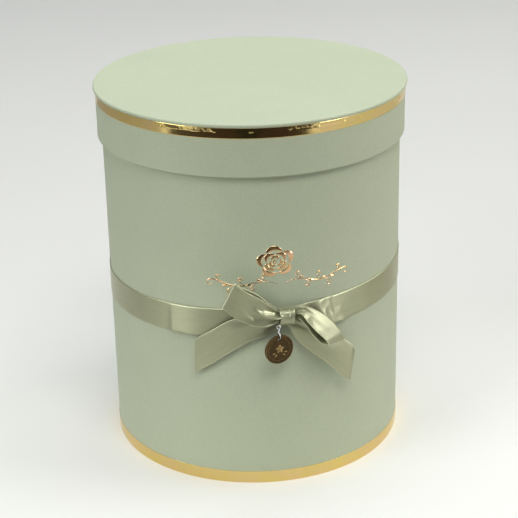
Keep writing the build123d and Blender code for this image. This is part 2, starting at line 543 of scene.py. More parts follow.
@dataclass(frozen=True)
class Round:
    """Outer size of a round node of the frame, in millimetres.

    Attributes:
        radius: Its outer radius.
        bottom: Height of its lower end.
        top: Height of its upper end.
    """

    radius: float
    bottom: float
    top: float

    @classmethod
    def of(cls, node: str) -> "Round":
        """Reads a node's size from the frame."""
        low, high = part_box(node)
        return cls((high.x - low.x) / 2 / MM, low.z / MM, high.z / MM)

    def disc(self) -> Section:
        """Section of a plain disc of this size, from the axis out and back."""
        low, high, radius = self.bottom, self.top, self.radius
        return [(0, low, 0), (radius, low, 0.1), (radius, high, 0.1), (0, high, 0)]


def measured(node: str) -> Round:
    """A dataclass field that holds a round node's size, read from the frame."""
    return field(default_factory=partial(Round.of, node))


@dataclass(frozen=True)
class Part:
    """What a piece is called, what carries it and what it stands for.

    Attributes:
        name: Its name.
        body: The body that carries it.
        finish: Its finish.
        stands_for: The plain nodes that it takes the place of.
    """

    name: str
    body: Body
    finish: Finish
    stands_for: tuple[str, ...] = ()

    def make(self, shape: Shape, level_normals: bool = False, thickness: float = 0.0) -> bpy.types.Object:
        """Turns a shape into a finished piece of the frame.

        Args:
            shape: The shape in millimetres, in the frame's own axes. It is freed.
            level_normals: Whether large faces rule the shading, for a wall with small roundings.
            thickness: Thickness that an open sheet is given, in millimetres.

        Returns:
            The piece.
        """
        bmesh.ops.scale(shape, vec=(MM, MM, MM), verts=shape.verts)
        mesh = bpy.data.meshes.new(self.name)
        shape.to_mesh(mesh)
        shape.free()
        for polygon in mesh.polygons:
            polygon.use_smooth = True
        piece = bpy.data.objects.new(self.name, mesh)
        bpy.context.scene.collection.objects.link(piece)
        if thickness:
            wall = piece.modifiers.new("thickness", "SOLIDIFY")
            wall.thickness, wall.offset, wall.use_quality_normals = thickness * MM, 0.0, True
        if level_normals:
            piece.modifiers.new("level normals", "WEIGHTED_NORMAL").weight = 80
        mesh.materials.append(self.finish.material())
        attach(piece, self.body.value)
        for node in self.stands_for:
            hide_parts(node)
        LOG.info("%s on %s: %d faces, %s", self.name, self.body.value, len(mesh.polygons), self.finish.name)
        return piece


def dress(node: str, finish: Finish) -> None:
    """Gives a node of the frame, kept as it is, its finish.

    Args:
        node: The node's name.
        finish: Its finish.
    """
    kept = frame["nodes"][node]
    kept.data.materials.clear()
    kept.data.materials.append(finish.material())
    LOG.info("%s kept: %s", node, finish.name)


def smooth(value: float) -> float:
    """A soft step from 0 to 1."""
    value = min(1.0, max(0.0, value))
    return value * value * (3 - 2 * value)


def hump(value: float) -> float:
    """A soft bell of height 1 about 0."""
    return math.exp(-value * value)


def ragged(*place: float) -> float:
    """Repeatable soft noise at a place of three numbers, about -1 to 1."""
    return noise.noise(Vector(place))


def level(angle: float) -> Vector:
    """The level direction at an angle from X, in radians."""
    return Vector((math.cos(angle), math.sin(angle), 0))


def swell(shape: Shape, least: float, offset: Callable[[Vector], float]) -> None:
    """Moves the points of a shape about the box's axis away from the axis.

    Args:
        shape: The shape, in millimetres.
        least: Radius inside which nothing moves.
        offset: Gives a point's way out.
    """
    for vert in shape.verts:
        radius = math.hypot(vert.co.x, vert.co.y)
        if radius >= least:
            growth = 1 + offset(vert.co) / radius
            vert.co.x *= growth
            vert.co.y *= growth


@dataclass(frozen=True)
class Lap:
    """Where a wrapped sheet laps over its own start, at the back of the box.

    Attributes:
        edge: Angle of the upper sheet's cut edge from the front, in degrees.
        width: Width of the lap, in millimetres.
        rise: How far the lap stands proud.
        crisp: Width over which the cut edge steps down.
        ramp: Width over which the other side climbs.
    """

    edge: float
    width: float
    rise: float
    crisp: float = 0.12
    ramp: float = 3.0

    def softened(self) -> "Lap":
        """The lap as it shows through foil laid over it."""
        return Lap(self.edge, self.width, self.rise, crisp=0.6, ramp=4)

    def apply(self, shape: Shape, least: float) -> None:
        """Cuts the lap's lines into a round shape and lifts what lies between them.

        Args:
            shape: A shape about the box's axis.
            least: Radius inside which nothing is lifted.
        """
        reach = max(math.hypot(v.co.x, v.co.y) for v in shape.verts)
        for mark in (0.0, -self.crisp, self.width, self.width + self.ramp / 2, self.width + self.ramp):
            side = level(math.radians(self.edge) - mark / reach)
            back = [f for f in shape.faces if f.calc_center_median().y > 0]
            geometry = [*{v for f in back for v in f.verts}, *{e for f in back for e in f.edges}, *back]
            bmesh.ops.bisect_plane(shape, geom=geometry, dist=1e-5, plane_co=(0, 0, 0), plane_no=side)
        swell(shape, least, partial(self.lift, reach))

    def lift(self, reach: float, place: Vector) -> float:
        """How far the lap lifts a point.

        Args:
            reach: The shape's radius, on which the lap's widths are measured.
            place: The point.

        Returns:
            The lift, in millimetres.
        """
        angle = math.atan2(place.x, -place.y) % (2 * math.pi)
        past = (math.radians(self.edge) - angle) * reach
        step, slope = smooth((past + self.crisp) / self.crisp), 1 - smooth((past - self.width) / self.ramp)
        return self.rise * step * slope


def turned(section: Section, open_ends: bool = False, steps: int = 288, rows: float = 0.0) -> Shape:
    """Turns a section about the box's axis.

    Args:
        section: Corners in order, each its radius, height and rounding in millimetres.
        open_ends: Whether the section starts and ends on the axis and so isn't closed on itself.
        steps: Steps round the turn.
        rows: Longest step along the section, or 0 to leave its runs whole.

    Returns:
        The closed shape, its faces outward.
    """
    shape = bmesh.new()
    corners = [shape.verts.new((radius, 0, height)) for radius, height, _ in section]
    pairs = list(zip(corners, corners[1:])) + ([] if open_ends else [(corners[-1], corners[0])])
    for first, second in pairs:
        shape.edges.new((first, second))
    for corner, (_, _, rounding) in zip(corners, section):
        if rounding:
            bmesh.ops.bevel(
                shape, geom=[corner], offset=rounding, segments=4, profile=0.5,
                affect="VERTICES", material=-1,
            )
    if rows:
        for edge in [e for e in shape.edges if e.calc_length() > rows]:
            cuts = int(edge.calc_length() / rows)
            bmesh.ops.subdivide_edges(shape, edges=[edge], cuts=cuts)
    sector = 2 * math.pi / 2**DOUBLINGS
    bmesh.ops.spin(
        shape, geom=shape.verts[:] + shape.edges[:], cent=(0, 0, 0), axis=(0, 0, 1),
        angle=sector, steps=max(1, round(steps / 2**DOUBLINGS)),
    )
    for doubling in range(DOUBLINGS):
        copied = bmesh.ops.duplicate(shape, geom=shape.verts[:] + shape.edges[:] + shape.faces[:])["geom"]
        verts = [g for g in copied if isinstance(g, bmesh.types.BMVert)]
        turn = Matrix.Rotation(sector * 2**doubling, 3, "Z")
        bmesh.ops.rotate(shape, cent=(0, 0, 0), matrix=turn, verts=verts)
    bmesh.ops.remove_doubles(shape, verts=shape.verts, dist=1e-4)
    bmesh.ops.recalc_face_normals(shape, faces=shape.faces)
    return shape


def pipe(inner: float, outer: float, bottom: float, top: float, rounding: float = 0.1) -> Section:
    """The section of a plain ring."""
    corners = ((outer, bottom), (outer, top), (inner, top), (inner, bottom))
    return [(radius, height, rounding) for radius, height in corners]


def grid(rows: int, columns: int, place: Callable[[float, float], Vector], widths: float) -> Shape:
    """A sheet shaped by a function.

    Args:
        rows: Steps along the sheet.
        columns: Steps across it.
        place: Gives a point from the share across and along, each 0 to 1.
        widths: The sheet's length, as a number of its widths.

    Returns:
        The open sheet. Its layer "strip" holds the share across and the widths along.
    """
    shape = bmesh.new()
    bmesh.ops.create_grid(shape, x_segments=columns, y_segments=rows, size=0.5)
    layer = shape.loops.layers.uv.new("strip")
    shares = {v: (v.co.x + 0.5, v.co.y + 0.5) for v in shape.verts}
    for face in shape.faces:
        for loop in face.loops:
            across, along = shares[loop.vert]
            loop[layer].uv = (across, along * widths)
    for vert, (across, along) in shares.items():
        vert.co = place(across, along)
    return shape


def wall_place(across: float, up: float, out: float, radius: float, height: float) -> Vector:
    """A point by its way along the wall from the front, its height and its distance from the wall.

    Args:
        across: Way along the wall, positive to the right.
        up: Height above the given height.
        out: Distance from the wall.
        radius: The wall's radius.
        height: The height counted from.

    Returns:
        The point, in millimetres.
    """
    angle = across / radius
    reach = radius + out
    return Vector((reach * math.sin(angle), -reach * math.cos(angle), height + up))


# The box


@dataclass
class BoxBody:
    """The round tube with its cover paper, liner, base and foil foot.

    Attributes:
        paper: Thickness of the papers, in millimetres.
        rim_rounding: Rounding of the cover paper over the rim.
        foot_turn: How far it is turned in under the foot.
        rim_turn: How far it is turned down inside the rim.
        foil_skin: How far the foil's inner face stands off the wall.
        wall: Size of the cover paper.
        liner: Size of the liner paper.
        foil: Size of the foil foot.
        under: Size of the paper under the foot.
        floor: Size of the paper on the inside floor.
        lap: Lap of the cover paper.
        foil_lap: Lap of the foil's own ends.
    """

    paper: float = 0.3
    rim_rounding: float = 0.55
    foot_turn: float = 5.0
    rim_turn: float = 12.0
    foil_skin: float = 0.02
    wall: Round = measured("body_wrap")
    liner: Round = measured("body_liner")
    foil: Round = measured("base_foil_band")
    under: Round = measured("base_cover_outer")
    floor: Round = measured("base_cover_inner")
    lap: Lap = Lap(edge=172, width=14, rise=0.24)
    foil_lap: Lap = Lap(edge=186, width=8, rise=0.14)

    def wrap(self) -> None:
        """Cover paper: over the rim, down the wall and turned under the foot, lapped at the back."""
        outer, bottom, top = self.wall.radius, self.wall.bottom, self.wall.top
        inner = self.liner.radius - self.paper
        board = outer - self.paper
        section = [
            (outer, top, self.rim_rounding), (outer, bottom, 0.35),
            (outer - self.foot_turn, bottom, 0), (outer - self.foot_turn, bottom + self.paper, 0),
            (board, bottom + self.paper, 0.1), (board, top - self.paper, 0.3),
            (self.liner.radius, top - self.paper, 0.3), (self.liner.radius, top - self.rim_turn, 0),
            (inner, top - self.rim_turn, 0), (inner, top, self.rim_rounding),
        ]
        shape = turned(section)
        self.lap.apply(shape, board - 1)
        Part("wall_paper", Body.BOX, SAGE_PAPER, ("body_wrap",)).make(shape, level_normals=True)

    def lining(self) -> None:
        """Liner paper inside the tube, and the paper on the inside floor."""
        liner = self.liner
        shape = turned(pipe(liner.radius - self.paper, liner.radius, liner.bottom, liner.top))
        Part("inner_paper", Body.BOX, LINER_PAPER, ("body_liner",)).make(shape, level_normals=True)
        for name, node, size, finish in (
            ("inner_floor_paper", "base_cover_inner", self.floor, LINER_PAPER),
            ("foot_paper", "base_cover_outer", self.under, SAGE_PAPER),
        ):
            shape = turned(size.disc(), open_ends=True, rows=12)
            Part(name, Body.BOX, finish, (node,)).make(shape, level_normals=True)

    def foot_foil(self) -> None:
        """Foil round the foot, a little rolled in at the floor."""
        foil, inner = self.foil, self.wall.radius + self.foil_skin
        section = [
            (foil.radius, foil.top, 0.03), (foil.radius, foil.bottom + 0.9, 0),
            (foil.radius - 0.05, foil.bottom + 0.3, 0), (foil.radius - 0.1, foil.bottom, 0.02),
            (inner, foil.bottom, 0), (inner, foil.top, 0),
        ]
        shape = turned(section, rows=1.2, steps=576)
        swell(shape, foil.radius - 0.04, self.foil_ripple)
        self.lap.softened().apply(shape, 0)
        self.foil_lap.apply(shape, foil.radius - 0.06)
        Part("foot_foil", Body.BOX, RIM_FOIL, ("base_foil_band",)).make(shape, level_normals=True)

    def foil_ripple(self, place: Vector) -> float:
        """How far the foil foot stands off its plain ring at a place."""
        around = level(math.atan2(place.y, place.x)) * 7
        return 0.035 * ragged(around.x, around.y, place.z * 0.2)

    def build(self) -> None:
        """Builds and dresses the box."""
        self.wrap()
        self.lining()
        self.foot_foil()
        dress("body_tube", RAW_BOARD)
        dress("base_board", RAW_BOARD)


@dataclass
class Lid:
    """The lid: a covered ring and top, with foil let in under the top's edge.

    Attributes:
        paper: Thickness of the papers, in millimetres.
        edge_rounding: Rounding of the top's rim.
        turn_in: How far the skirt's paper is turned up inside.
        top_turn: How far the top's paper is turned in under its rim.
        sag: How far the top's paper lies below its plain face.
        crease: Share of the foil's height at which it is creased.
        proud: How far the foil stands out above the crease.
        lean: How far its upper edge leans out where it leans most.
        lean_from: Where round the lid that lean starts, in degrees from the front.
        lean_to: Where it ends.
        foil_skin: How far the foil's inner face stands off the skirt.
        skirt: Size of the skirt's paper.
        liner: Size of the skirt's lining.
        top: Size of the top's paper.
        ceiling: Size of the paper inside the top.
        foil: Size of the foil.
        lap: Lap of the skirt's paper.
    """

    paper: float = 0.3
    edge_rounding: float = 1.1
    turn_in: float = 10.0
    top_turn: float = 11.0
    sag: float = 0.05
    crease: float = 0.6
    proud: float = 0.03
    lean: float = 0.25
    lean_from: float = -38.0
    lean_to: float = -12.0
    foil_skin: float = 0.02
    skirt: Round = measured("lid_wrap")
    liner: Round = measured("lid_liner")
    top: Round = measured("lid_top_cover")
    ceiling: Round = measured("lid_inner_cover")
    foil: Round = measured("lid_foil_band")
    lap: Lap = Lap(edge=190, width=12, rise=0.22)

    def wrap(self) -> None:
        """Cover paper down the skirt, turned under its edge and up inside."""
        outer, bottom, top = self.skirt.radius, self.skirt.bottom, self.skirt.top
        inner = self.liner.radius - self.paper
        section = [
            (outer, top, 0), (outer, bottom, 0.5), (inner, bottom, 0.5), (inner, bottom + self.turn_in, 0),
            (inner + self.paper, bottom + self.turn_in, 0), (inner + self.paper, bottom + self.paper, 0.2),
            (outer - self.paper, bottom + self.paper, 0.2), (outer - self.paper, top, 0),
        ]
        shape = turned(section)
        self.lap.apply(shape, outer - 1)
        Part("lid_skirt_paper", Body.LID, SAGE_PAPER, ("lid_wrap",)).make(shape, level_normals=True)
        liner = self.liner
        shape = turned(pipe(liner.radius - self.paper, liner.radius, liner.bottom, liner.top))
        Part("lid_inner_paper", Body.LID, LINER_PAPER, ("lid_liner",)).make(shape, level_normals=True)

    def covers(self) -> None:
        """Cover paper over the top board, rolled round its rim and turned under, and the paper inside."""
        top, skin = self.top, self.paper
        section = [
            (0, top.top, 0), (top.radius, top.top, self.edge_rounding),
            (top.radius, top.bottom, self.edge_rounding * 0.9), (top.radius - self.top_turn, top.bottom, 0),
            (top.radius - self.top_turn, top.bottom + skin, 0), (top.radius - skin, top.bottom + skin, 0.5),
            (top.radius - skin, top.top - skin, 0.5), (0, top.top - skin, 0),
        ]
        shape = turned(section, open_ends=True, rows=9)
        for vert in shape.verts:
            radius = math.hypot(vert.co.x, vert.co.y)
            if vert.co.z > top.top - skin * 1.2 and radius < top.radius - 3:
                dip = ragged(vert.co.x * 0.018, vert.co.y * 0.018, 3.7) * smooth((top.radius - radius) / 25)
                vert.co.z += self.sag * dip - self.sag
        Part("lid_top_paper", Body.LID, SAGE_PAPER, ("lid_top_cover",)).make(shape, level_normals=True)
        shape = turned(self.ceiling.disc(), open_ends=True, rows=12)
        Part("lid_ceiling_paper", Body.LID, LINER_PAPER, ("lid_inner_cover",)).make(shape, level_normals=True)

    def foil_offset(self, place: Vector) -> float:
        """How far the foil stands off its plain ring.

        Args:
            place: A point of the plain ring, in millimetres.

        Returns:
            The distance, in millimetres.
        """
        foil = self.foil
        height = (place.z - foil.bottom) / (foil.top - foil.bottom)
        angle = math.atan2(place.y, place.x)
        x, y = math.cos(angle) * foil.radius, math.sin(angle) * foil.radius
        upper = smooth((height - self.crease + 0.015) / 0.03)
        waves = 0.022 * ragged(x * 0.05, y * 0.05, height * 0.4)
        pleats = 0.11 * max(0.0, ragged(x * 0.62, y * 0.62, height * 1.1) - 0.28) * upper
        above = height - self.crease
        creases = 0.07 * ragged(x * 1.5, y * 1.5, height * 2.0) * upper * smooth(above / 0.15)
        lip = 0.55 * max(0.0, ragged(x * 0.33, y * 0.33, 5.1) - 0.2) * hump((above - 0.02) / 0.035)
        way = math.degrees(math.atan2(y, x)) + 90
        leaning = self.lean * smooth((way - self.lean_from) / 6) * smooth((self.lean_to - way) / 8)
        leaning += 0.16 * max(-0.35, ragged(x * 0.16, y * 0.16, 3.3))
        slant = leaning * max(0.0, above) / (1 - self.crease)
        settle = 0.05 * ragged(x * 0.03, y * 0.03, 9.0) * hump(above / 0.22)
        stand = self.proud * upper * (0.85 + 0.3 * ragged(x * 0.04, y * 0.04, 2.0))
        return stand + waves + pleats + creases + lip + settle + slant

    def foil_band(self) -> None:
        """Foil under the top's edge: creased part way up, proud and pleated above the crease."""
        foil, inner = self.foil, self.skirt.radius + self.foil_skin
        shape = turned(pipe(inner, foil.radius, foil.bottom, foil.top, 0), rows=0.38, steps=1080)
        swell(shape, foil.radius - 0.02, self.foil_offset)
        self.lap.softened().apply(shape, 0)
        Part("lid_foil", Body.LID, RIM_FOIL, ("lid_foil_band",)).make(shape)

    def build(self) -> None:
        """Builds and dresses the lid."""
        self.wrap()
        self.covers()
        self.foil_band()
        dress("lid_ring", RAW_BOARD)
        dress("lid_top_board", RAW_BOARD)


# Ribbon and bow


@dataclass(frozen=True)
class Station:
    """One place along a ribbon's middle.

    Attributes:
        across: Way along the wall from the front.
        up: Height above the ribbon's middle.
        out: Distance from the wall.
        turn: Turn of its width from upright, in degrees.
        lean: Lean of its width out from the wall, in degrees.
        share: Share of its full width that it spreads to.
    """

    across: float
    up: float
    out: float
    turn: float
    lean: float
    share: float

    def values(self) -> tuple[float, ...]:
        """The station's values in order."""
        return (self.across, self.up, self.out, self.turn, self.lean, self.share)


@dataclass(frozen=True)
class Fold:
    """A soft ridge or hollow that runs along a ribbon.

    Attributes:
        height: How far it stands out of the ribbon's face, or into it below 0.
        side: Where it lies across the ribbon, -1 to 1, at its start.
        drift: How much that changes over its whole reach.
        width: Its half width, as a share of the ribbon's.
        start: Where along the ribbon it is deepest, in millimetres.
        reach: How far along it fades.
    """

    height: float
    side: float
    drift: float
    width: float
    start: float
    reach: float

    def at(self, side: float, along: float) -> float:
        """Its height at a place on the ribbon."""
        way = (along - self.start) / self.reach
        middle = self.side + self.drift * max(0.0, way)
        return self.height * hump(way) * hump((side - middle) / self.width)


@dataclass
class Strip:
    """A length of ribbon through its stations, with folds.

    Attributes:
        wall_radius: Radius of the wall that the stations count from, in millimetres.
        height: Height that they count from.
        width: The ribbon's full width.
        stations: Places along its middle, in order.
        folds: Its folds.
        crown: How far its middle stands out of its edges.
        rows: Steps along it.
        columns: Steps across it.
    """

    wall_radius: float
    height: float
    width: float
    stations: Sequence[Station]
    folds: Sequence[Fold]
    crown: float
    rows: int = 150
    columns: int = 30

    def __post_init__(self) -> None:
        """Measures the way along the stations."""
        places = [self.point(station) for station in self.stations]
        self.ways = [0.0]
        for first, second in zip(places, places[1:]):
            self.ways.append(self.ways[-1] + (second - first).length)

    @property
    def length(self) -> float:
        """The ribbon's length along its stations, in millimetres."""
        return self.ways[-1]

    def point(self, station: Station) -> Vector:
        """A station's place."""
        return wall_place(station.across, station.up, station.out, self.wall_radius, self.height)

    def station(self, way: float) -> Station:
        """The station at a way along the ribbon, on a smooth curve through the given ones.

        Args:
            way: Distance along the stations, in millimetres.

        Returns:
            The station there.
        """
        ways, last = self.ways, len(self.ways) - 1
        index = max(0, min(last - 1, sum(1 for w in ways[1:-1] if w <= way)))
        step = ways[index + 1] - ways[index]
        share = (way - ways[index]) / step
        result = []
        for column in zip(*(s.values() for s in self.stations)):
            slopes = []
            for k in (index, index + 1):
                if k == 0 or k == last:
                    near = 1 if k == 0 else last
                    slopes.append((column[near] - column[near - 1]) / (ways[near] - ways[near - 1]))
                    continue
                before, after = ways[k] - ways[k - 1], ways[k + 1] - ways[k]
                back, on = (column[k] - column[k - 1]) / before, (column[k + 1] - column[k]) / after
                slopes.append((back * after + on * before) / (before + after))
            square, cube = share * share, share**3
            result.append(
                column[index] * (2 * cube - 3 * square + 1) + slopes[0] * step * (cube - 2 * square + share)
                + column[index + 1] * (3 * square - 2 * cube) + slopes[1] * step * (cube - square)
            )
        return Station(*result)

    def edge_way(self, station: Station) -> Vector:
        """The direction of the ribbon's width at a station."""
        angle = station.across / self.wall_radius
        sideways, outward = level(angle), level(angle - math.pi / 2)
        turn, lean = math.radians(station.turn), math.radians(station.lean)
        in_wall = sideways * math.sin(turn) + AXIS_Z * math.cos(turn)
        return in_wall * math.cos(lean) + outward * math.sin(lean)

    def place(self, across: float, along: float) -> Vector:
        """A point of the ribbon.

        Args:
            across: Share across it, 0 to 1.
            along: Share along it, 0 to 1.

        Returns:
            The point, in millimetres.
        """
        way = along * self.length
        station = self.station(way)
        width_way = self.edge_way(station)
        before, after = self.station(max(0.0, way - 0.25)), self.station(min(self.length, way + 0.25))
        face = (self.point(after) - self.point(before)).cross(width_way).normalized()
        side = 2 * across - 1
        lift = self.crown * (1 - side * side) + sum(fold.at(side, way) for fold in self.folds)
        return self.point(station) + width_way * (side * self.width * station.share / 2) + face * lift

    def shape(self) -> Shape:
        """The open sheet."""
        return grid(self.rows, self.columns, self.place, self.length / self.width)


@dataclass
class Bow:
    """The ribbon round the box and its bow.

    Attributes:
        width: The ribbon's width, in millimetres.
        thickness: Its thickness.
        tilt: How far the band rises to the right across the front, in degrees.
        overlap: How far the band's end laps over its start.
        lap_rise: How far that end stands up over its start.
        slack: Share of the band's looseness that shows.
        snug: How much closer it lies to the wall than its looseness says.
        least_out: Least distance of the band's middle layer from the wall.
        knot_half: Half the knot's width.
        knot_low: The knot's lowest place, from the height of the band's middle.
        knot_high: Its highest place.
        knot_back: Its nearest place to the wall.
        knot_front: Its farthest place from the wall.
        knot_flat: Share of the knot's ribbon that isn't rolled under at its edges.
        knot_power: How far the knot's round is drawn towards a diamond, below 1 towards a square.
        reach: Radius of the wall that the bow's lengths are set out from, in millimetres.
        wall: Size of the cover paper.
        box_lap: Lap of the cover paper, which shows through the band.
    """

    width: float = 19.5
    thickness: float = 0.3
    tilt: float = 2.2
    overlap: float = 3.0
    lap_rise: float = 0.35
    slack: float = 0.999
    snug: float = 0.14
    least_out: float = 0.22
    knot_half: float = 4.5
    knot_low: float = -1.3
    knot_high: float = 10.1
    knot_back: float = 0.8
    knot_front: float = 9.8
    knot_flat: float = 0.62
    knot_power: float = 0.93
    reach: float = 100.0
    wall: Round = measured("body_wrap")
    box_lap: Lap = BoxBody.lap

    def __post_init__(self) -> None:
        """Finds the height of the ribbon's middle from the band's node, and the knot's half sizes."""
        band = Round.of("ribbon_band")
        self.height = (band.bottom + band.top) / 2
        self.around = 2 * math.pi * self.wall.radius
        self.half_up = (self.knot_high - self.knot_low) / 2 - self.thickness / 2
        self.half_out = (self.knot_front - self.knot_back) / 2 - self.thickness / 2

    def wavering(self, across: float, side: float) -> float:
        """How far the band stands off the wall.

        Args:
            across: Way along the wall from the front.
            side: Place across the band, -1 to 1.

        Returns:
            The distance, in millimetres.
        """
        near = abs(across)
        slack = 0.16 * (0.5 + 0.5 * ragged(across * 0.045, side * 0.5, 1.3))
        pleats = 0.55 * hump(near / 13) * (1 + math.sin(side * 7.5 + across * 0.12)) / 2
        pull = 1.5 * hump((near - 6) / 11)
        ridge = 2.6 * hump((across - 25 - side * -3.6) / 4.6) * (0.65 - 0.35 * side)
        dimple = 1.7 * hump((across - 36 + side * 3.0) / 5.5) * (0.5 - 0.5 * side)
        crumple = 0.5 * ragged(across * 0.24, side * 1.8, 4.4) * hump((across - 27) / 15)
        soft = 1.5 * smooth((across + 80) / 5) * smooth((-8 - across) / 30) * (0.5 - 0.5 * side)
        return 0.22 + slack + pleats + pull + ridge + max(0, dimple + crumple) + soft

    def band_point(self, across: float, along: float) -> Vector:
        """A point of the band: lapped at the back, and gathered where it runs into the knot.

        Args:
            across: Share across it, 0 to 1.
            along: Share along it, 0 to 1, from the front round by the right.

        Returns:
            The point, in millimetres.
        """
        around, radius, lap = self.around, self.wall.radius, self.box_lap
        way = (along - 0.5) * (around + self.overlap) + around / 2
        front = way if way <= around / 2 else way - around
        angle = front / radius
        rise = radius * math.sin(angle) * math.tan(math.radians(self.tilt))
        low = -self.width / 2 + 6.2 * hump(front / 15)
        high = self.width / 2 - 0.8 * hump(front / 12)
        past = (math.radians(lap.edge) - angle % (2 * math.pi)) * radius
        lifted = lap.rise * smooth((past + 0.8) / 0.8) * (1 - smooth((past - lap.width) / 4))
        out = self.thickness / 2 - self.snug + self.wavering(front, 2 * across - 1) * self.slack + lifted
        out = max(self.least_out, out + self.lap_rise * smooth((way - around + 2.0) / 2.0))
        return wall_place(front, rise + low + (high - low) * across, out, radius, self.height)

    def band(self) -> None:
        """The ribbon round the box."""
        shape = grid(760, 16, self.band_point, self.around / self.width)
        bmesh.ops.reverse_faces(shape, faces=shape.faces)
        part = Part("satin_band", Body.BOX, RIBBON_SATIN, ("ribbon_band",))
        piece = part.make(shape, thickness=self.thickness)

    def knot_point(self, across: float, along: float) -> Vector:
        """A point of the knot's ribbon: wrapped upright over the middle, rolled under at its edges, hollowed.

        Args:
            across: Share across it, 0 to 1.
            along: Share of its way round, 0 to 1, from the wall up and over.

        Returns:
            The point, in millimetres.
        """
        flat = self.knot_flat
        side = 2 * across - 1
        turn = along * 2 * math.pi - math.pi / 2
        c, s = math.cos(turn), math.sin(turn)
        up = self.half_up * math.copysign(abs(c) ** self.knot_power, c)
        out = self.half_out * math.copysign(abs(s) ** self.knot_power, s)
        if abs(side) <= flat:
            x = side / flat * self.knot_half
            rim = abs(side) / flat
            inward = 0.65 * (1 - rim * rim) * (0.7 + 0.6 * smooth((c + 0.5) / 1.5))
            inward += 0.3 * hump((side - 0.2 - 0.1 * s) / 0.1) * smooth(c + 0.5)
            inward += 0.22 * hump((side + 0.3) / 0.08) * smooth(0.4 - c)
        else:
            rest = (abs(side) - flat) / (1 - flat)
            roll = min(1.0, rest / 0.35) * math.pi
            under = max(0.0, rest - 0.35) / 0.65 * 2.9
            x = math.copysign(self.knot_half - 0.45 + 0.45 * math.cos(roll / 2) - under, side)
            inward = 0.45 * (1 - math.cos(roll))
        inward += 0.12 * ragged(x * 0.5, along * 6, 7.7)
        share = 1 - inward / math.hypot(up, out)
        pinch = 0.93 + 0.13 * c * c * smooth(s + 0.6)
        up = (self.knot_high + self.knot_low) / 2 + up * share
        out = (self.knot_front + self.knot_back) / 2 + out * share
        return wall_place(x * pinch, up, out, self.wall.radius, self.height)

    def knot(self) -> None:
        """The knot."""
        length = 2 * math.pi * math.sqrt((self.half_up**2 + self.half_out**2) / 2)
        shape = grid(96, 44, self.knot_point, length / self.width)
        bmesh.ops.remove_doubles(shape, verts=shape.verts, dist=0.01)
        bmesh.ops.recalc_face_normals(shape, faces=shape.faces)
        part = Part("satin_knot", Body.BOX, RIBBON_SATIN, ("bow_knot",))
        piece = part.make(shape, thickness=self.thickness * 0.8)

    def strip(
        self, stations: Sequence[Station], folds: Sequence[Fold], crown: float, rows: int = 150
    ) -> Strip:
        """A length of this ribbon.

        Args:
            stations: Its stations.
            folds: Its folds.
            crown: How far its middle stands out of its edges.
            rows: Steps along it.

        Returns:
            The length.
        """
        return Strip(self.reach, self.height, self.width, stations, folds, crown, rows)

    def lay(self, name: str, node: str, strip: Strip, held: Held) -> None:
        """Makes one length of the bow.

        Args:
            name: The piece's name.
            node: The node it stands for.
            strip: Its shape.
            held: How it is held; not used.
        """
        piece = Part(name, Body.BOX, RIBBON_SATIN, (node,)).make(strip.shape(), thickness=self.thickness)

    def tails(self) -> None:
        """The two cut ends that hang from the knot."""
        left = self.strip(
            stations=[
                Station(-3.6, 2.2, 3.0, -30, 0, 0.36),
                Station(-6.5, 1.3, 3.1, -30, 0, 0.48),
                Station(-13.5, -0.9, 3.3, -30, 0, 0.75),
                Station(-27.5, -5.0, 3.3, -31, 0, 0.95),
                Station(-45.0, -16.5, 3.3, -31, 0, 1.0),
                Station(-58.0, -26.0, 3.5, 2.5, 0, 1.17),
            ],
            folds=[
                Fold(-1.1, -0.1, 0.25, 0.30, 2, 13),
                Fold(0.8, 0.55, 0.1, 0.25, 3, 14),
                Fold(0.5, -0.65, -0.1, 0.25, 3, 11),
                Fold(-0.5, 0.2, 0.3, 0.5, 26, 12),
            ],
            crown=0.3,
        )
        self.lay("satin_tail_left", "bow_tail_left", left, Held.HUNG)
        right = self.strip(
            stations=[
                Station(2.6, 1.0, 3.4, 50, 0, 0.34),
                Station(5.0, -1.5, 4.3, 50, 0, 0.44),
                Station(11.5, -6.6, 4.8, 50, 0, 0.85),
                Station(21.8, -16.2, 5.1, 49, 0, 1.0),
                Station(34.1, -28.5, 7.7, 46, 3, 1.0),
                Station(42.0, -38.5, 9.5, 8, 4, 1.13),
            ],
            folds=[
                Fold(-1.0, 0.1, 0.1, 0.28, 2, 12),
                Fold(0.7, 0.62, 0.0, 0.2, 3, 10),
                Fold(0.5, -0.5, -0.2, 0.25, 3, 9),
                Fold(0.5, -0.1, 0.0, 0.6, 34, 12),
            ],
            crown=0.25,
        )
        self.lay("satin_tail_right", "bow_tail_right", right, Held.HUNG)

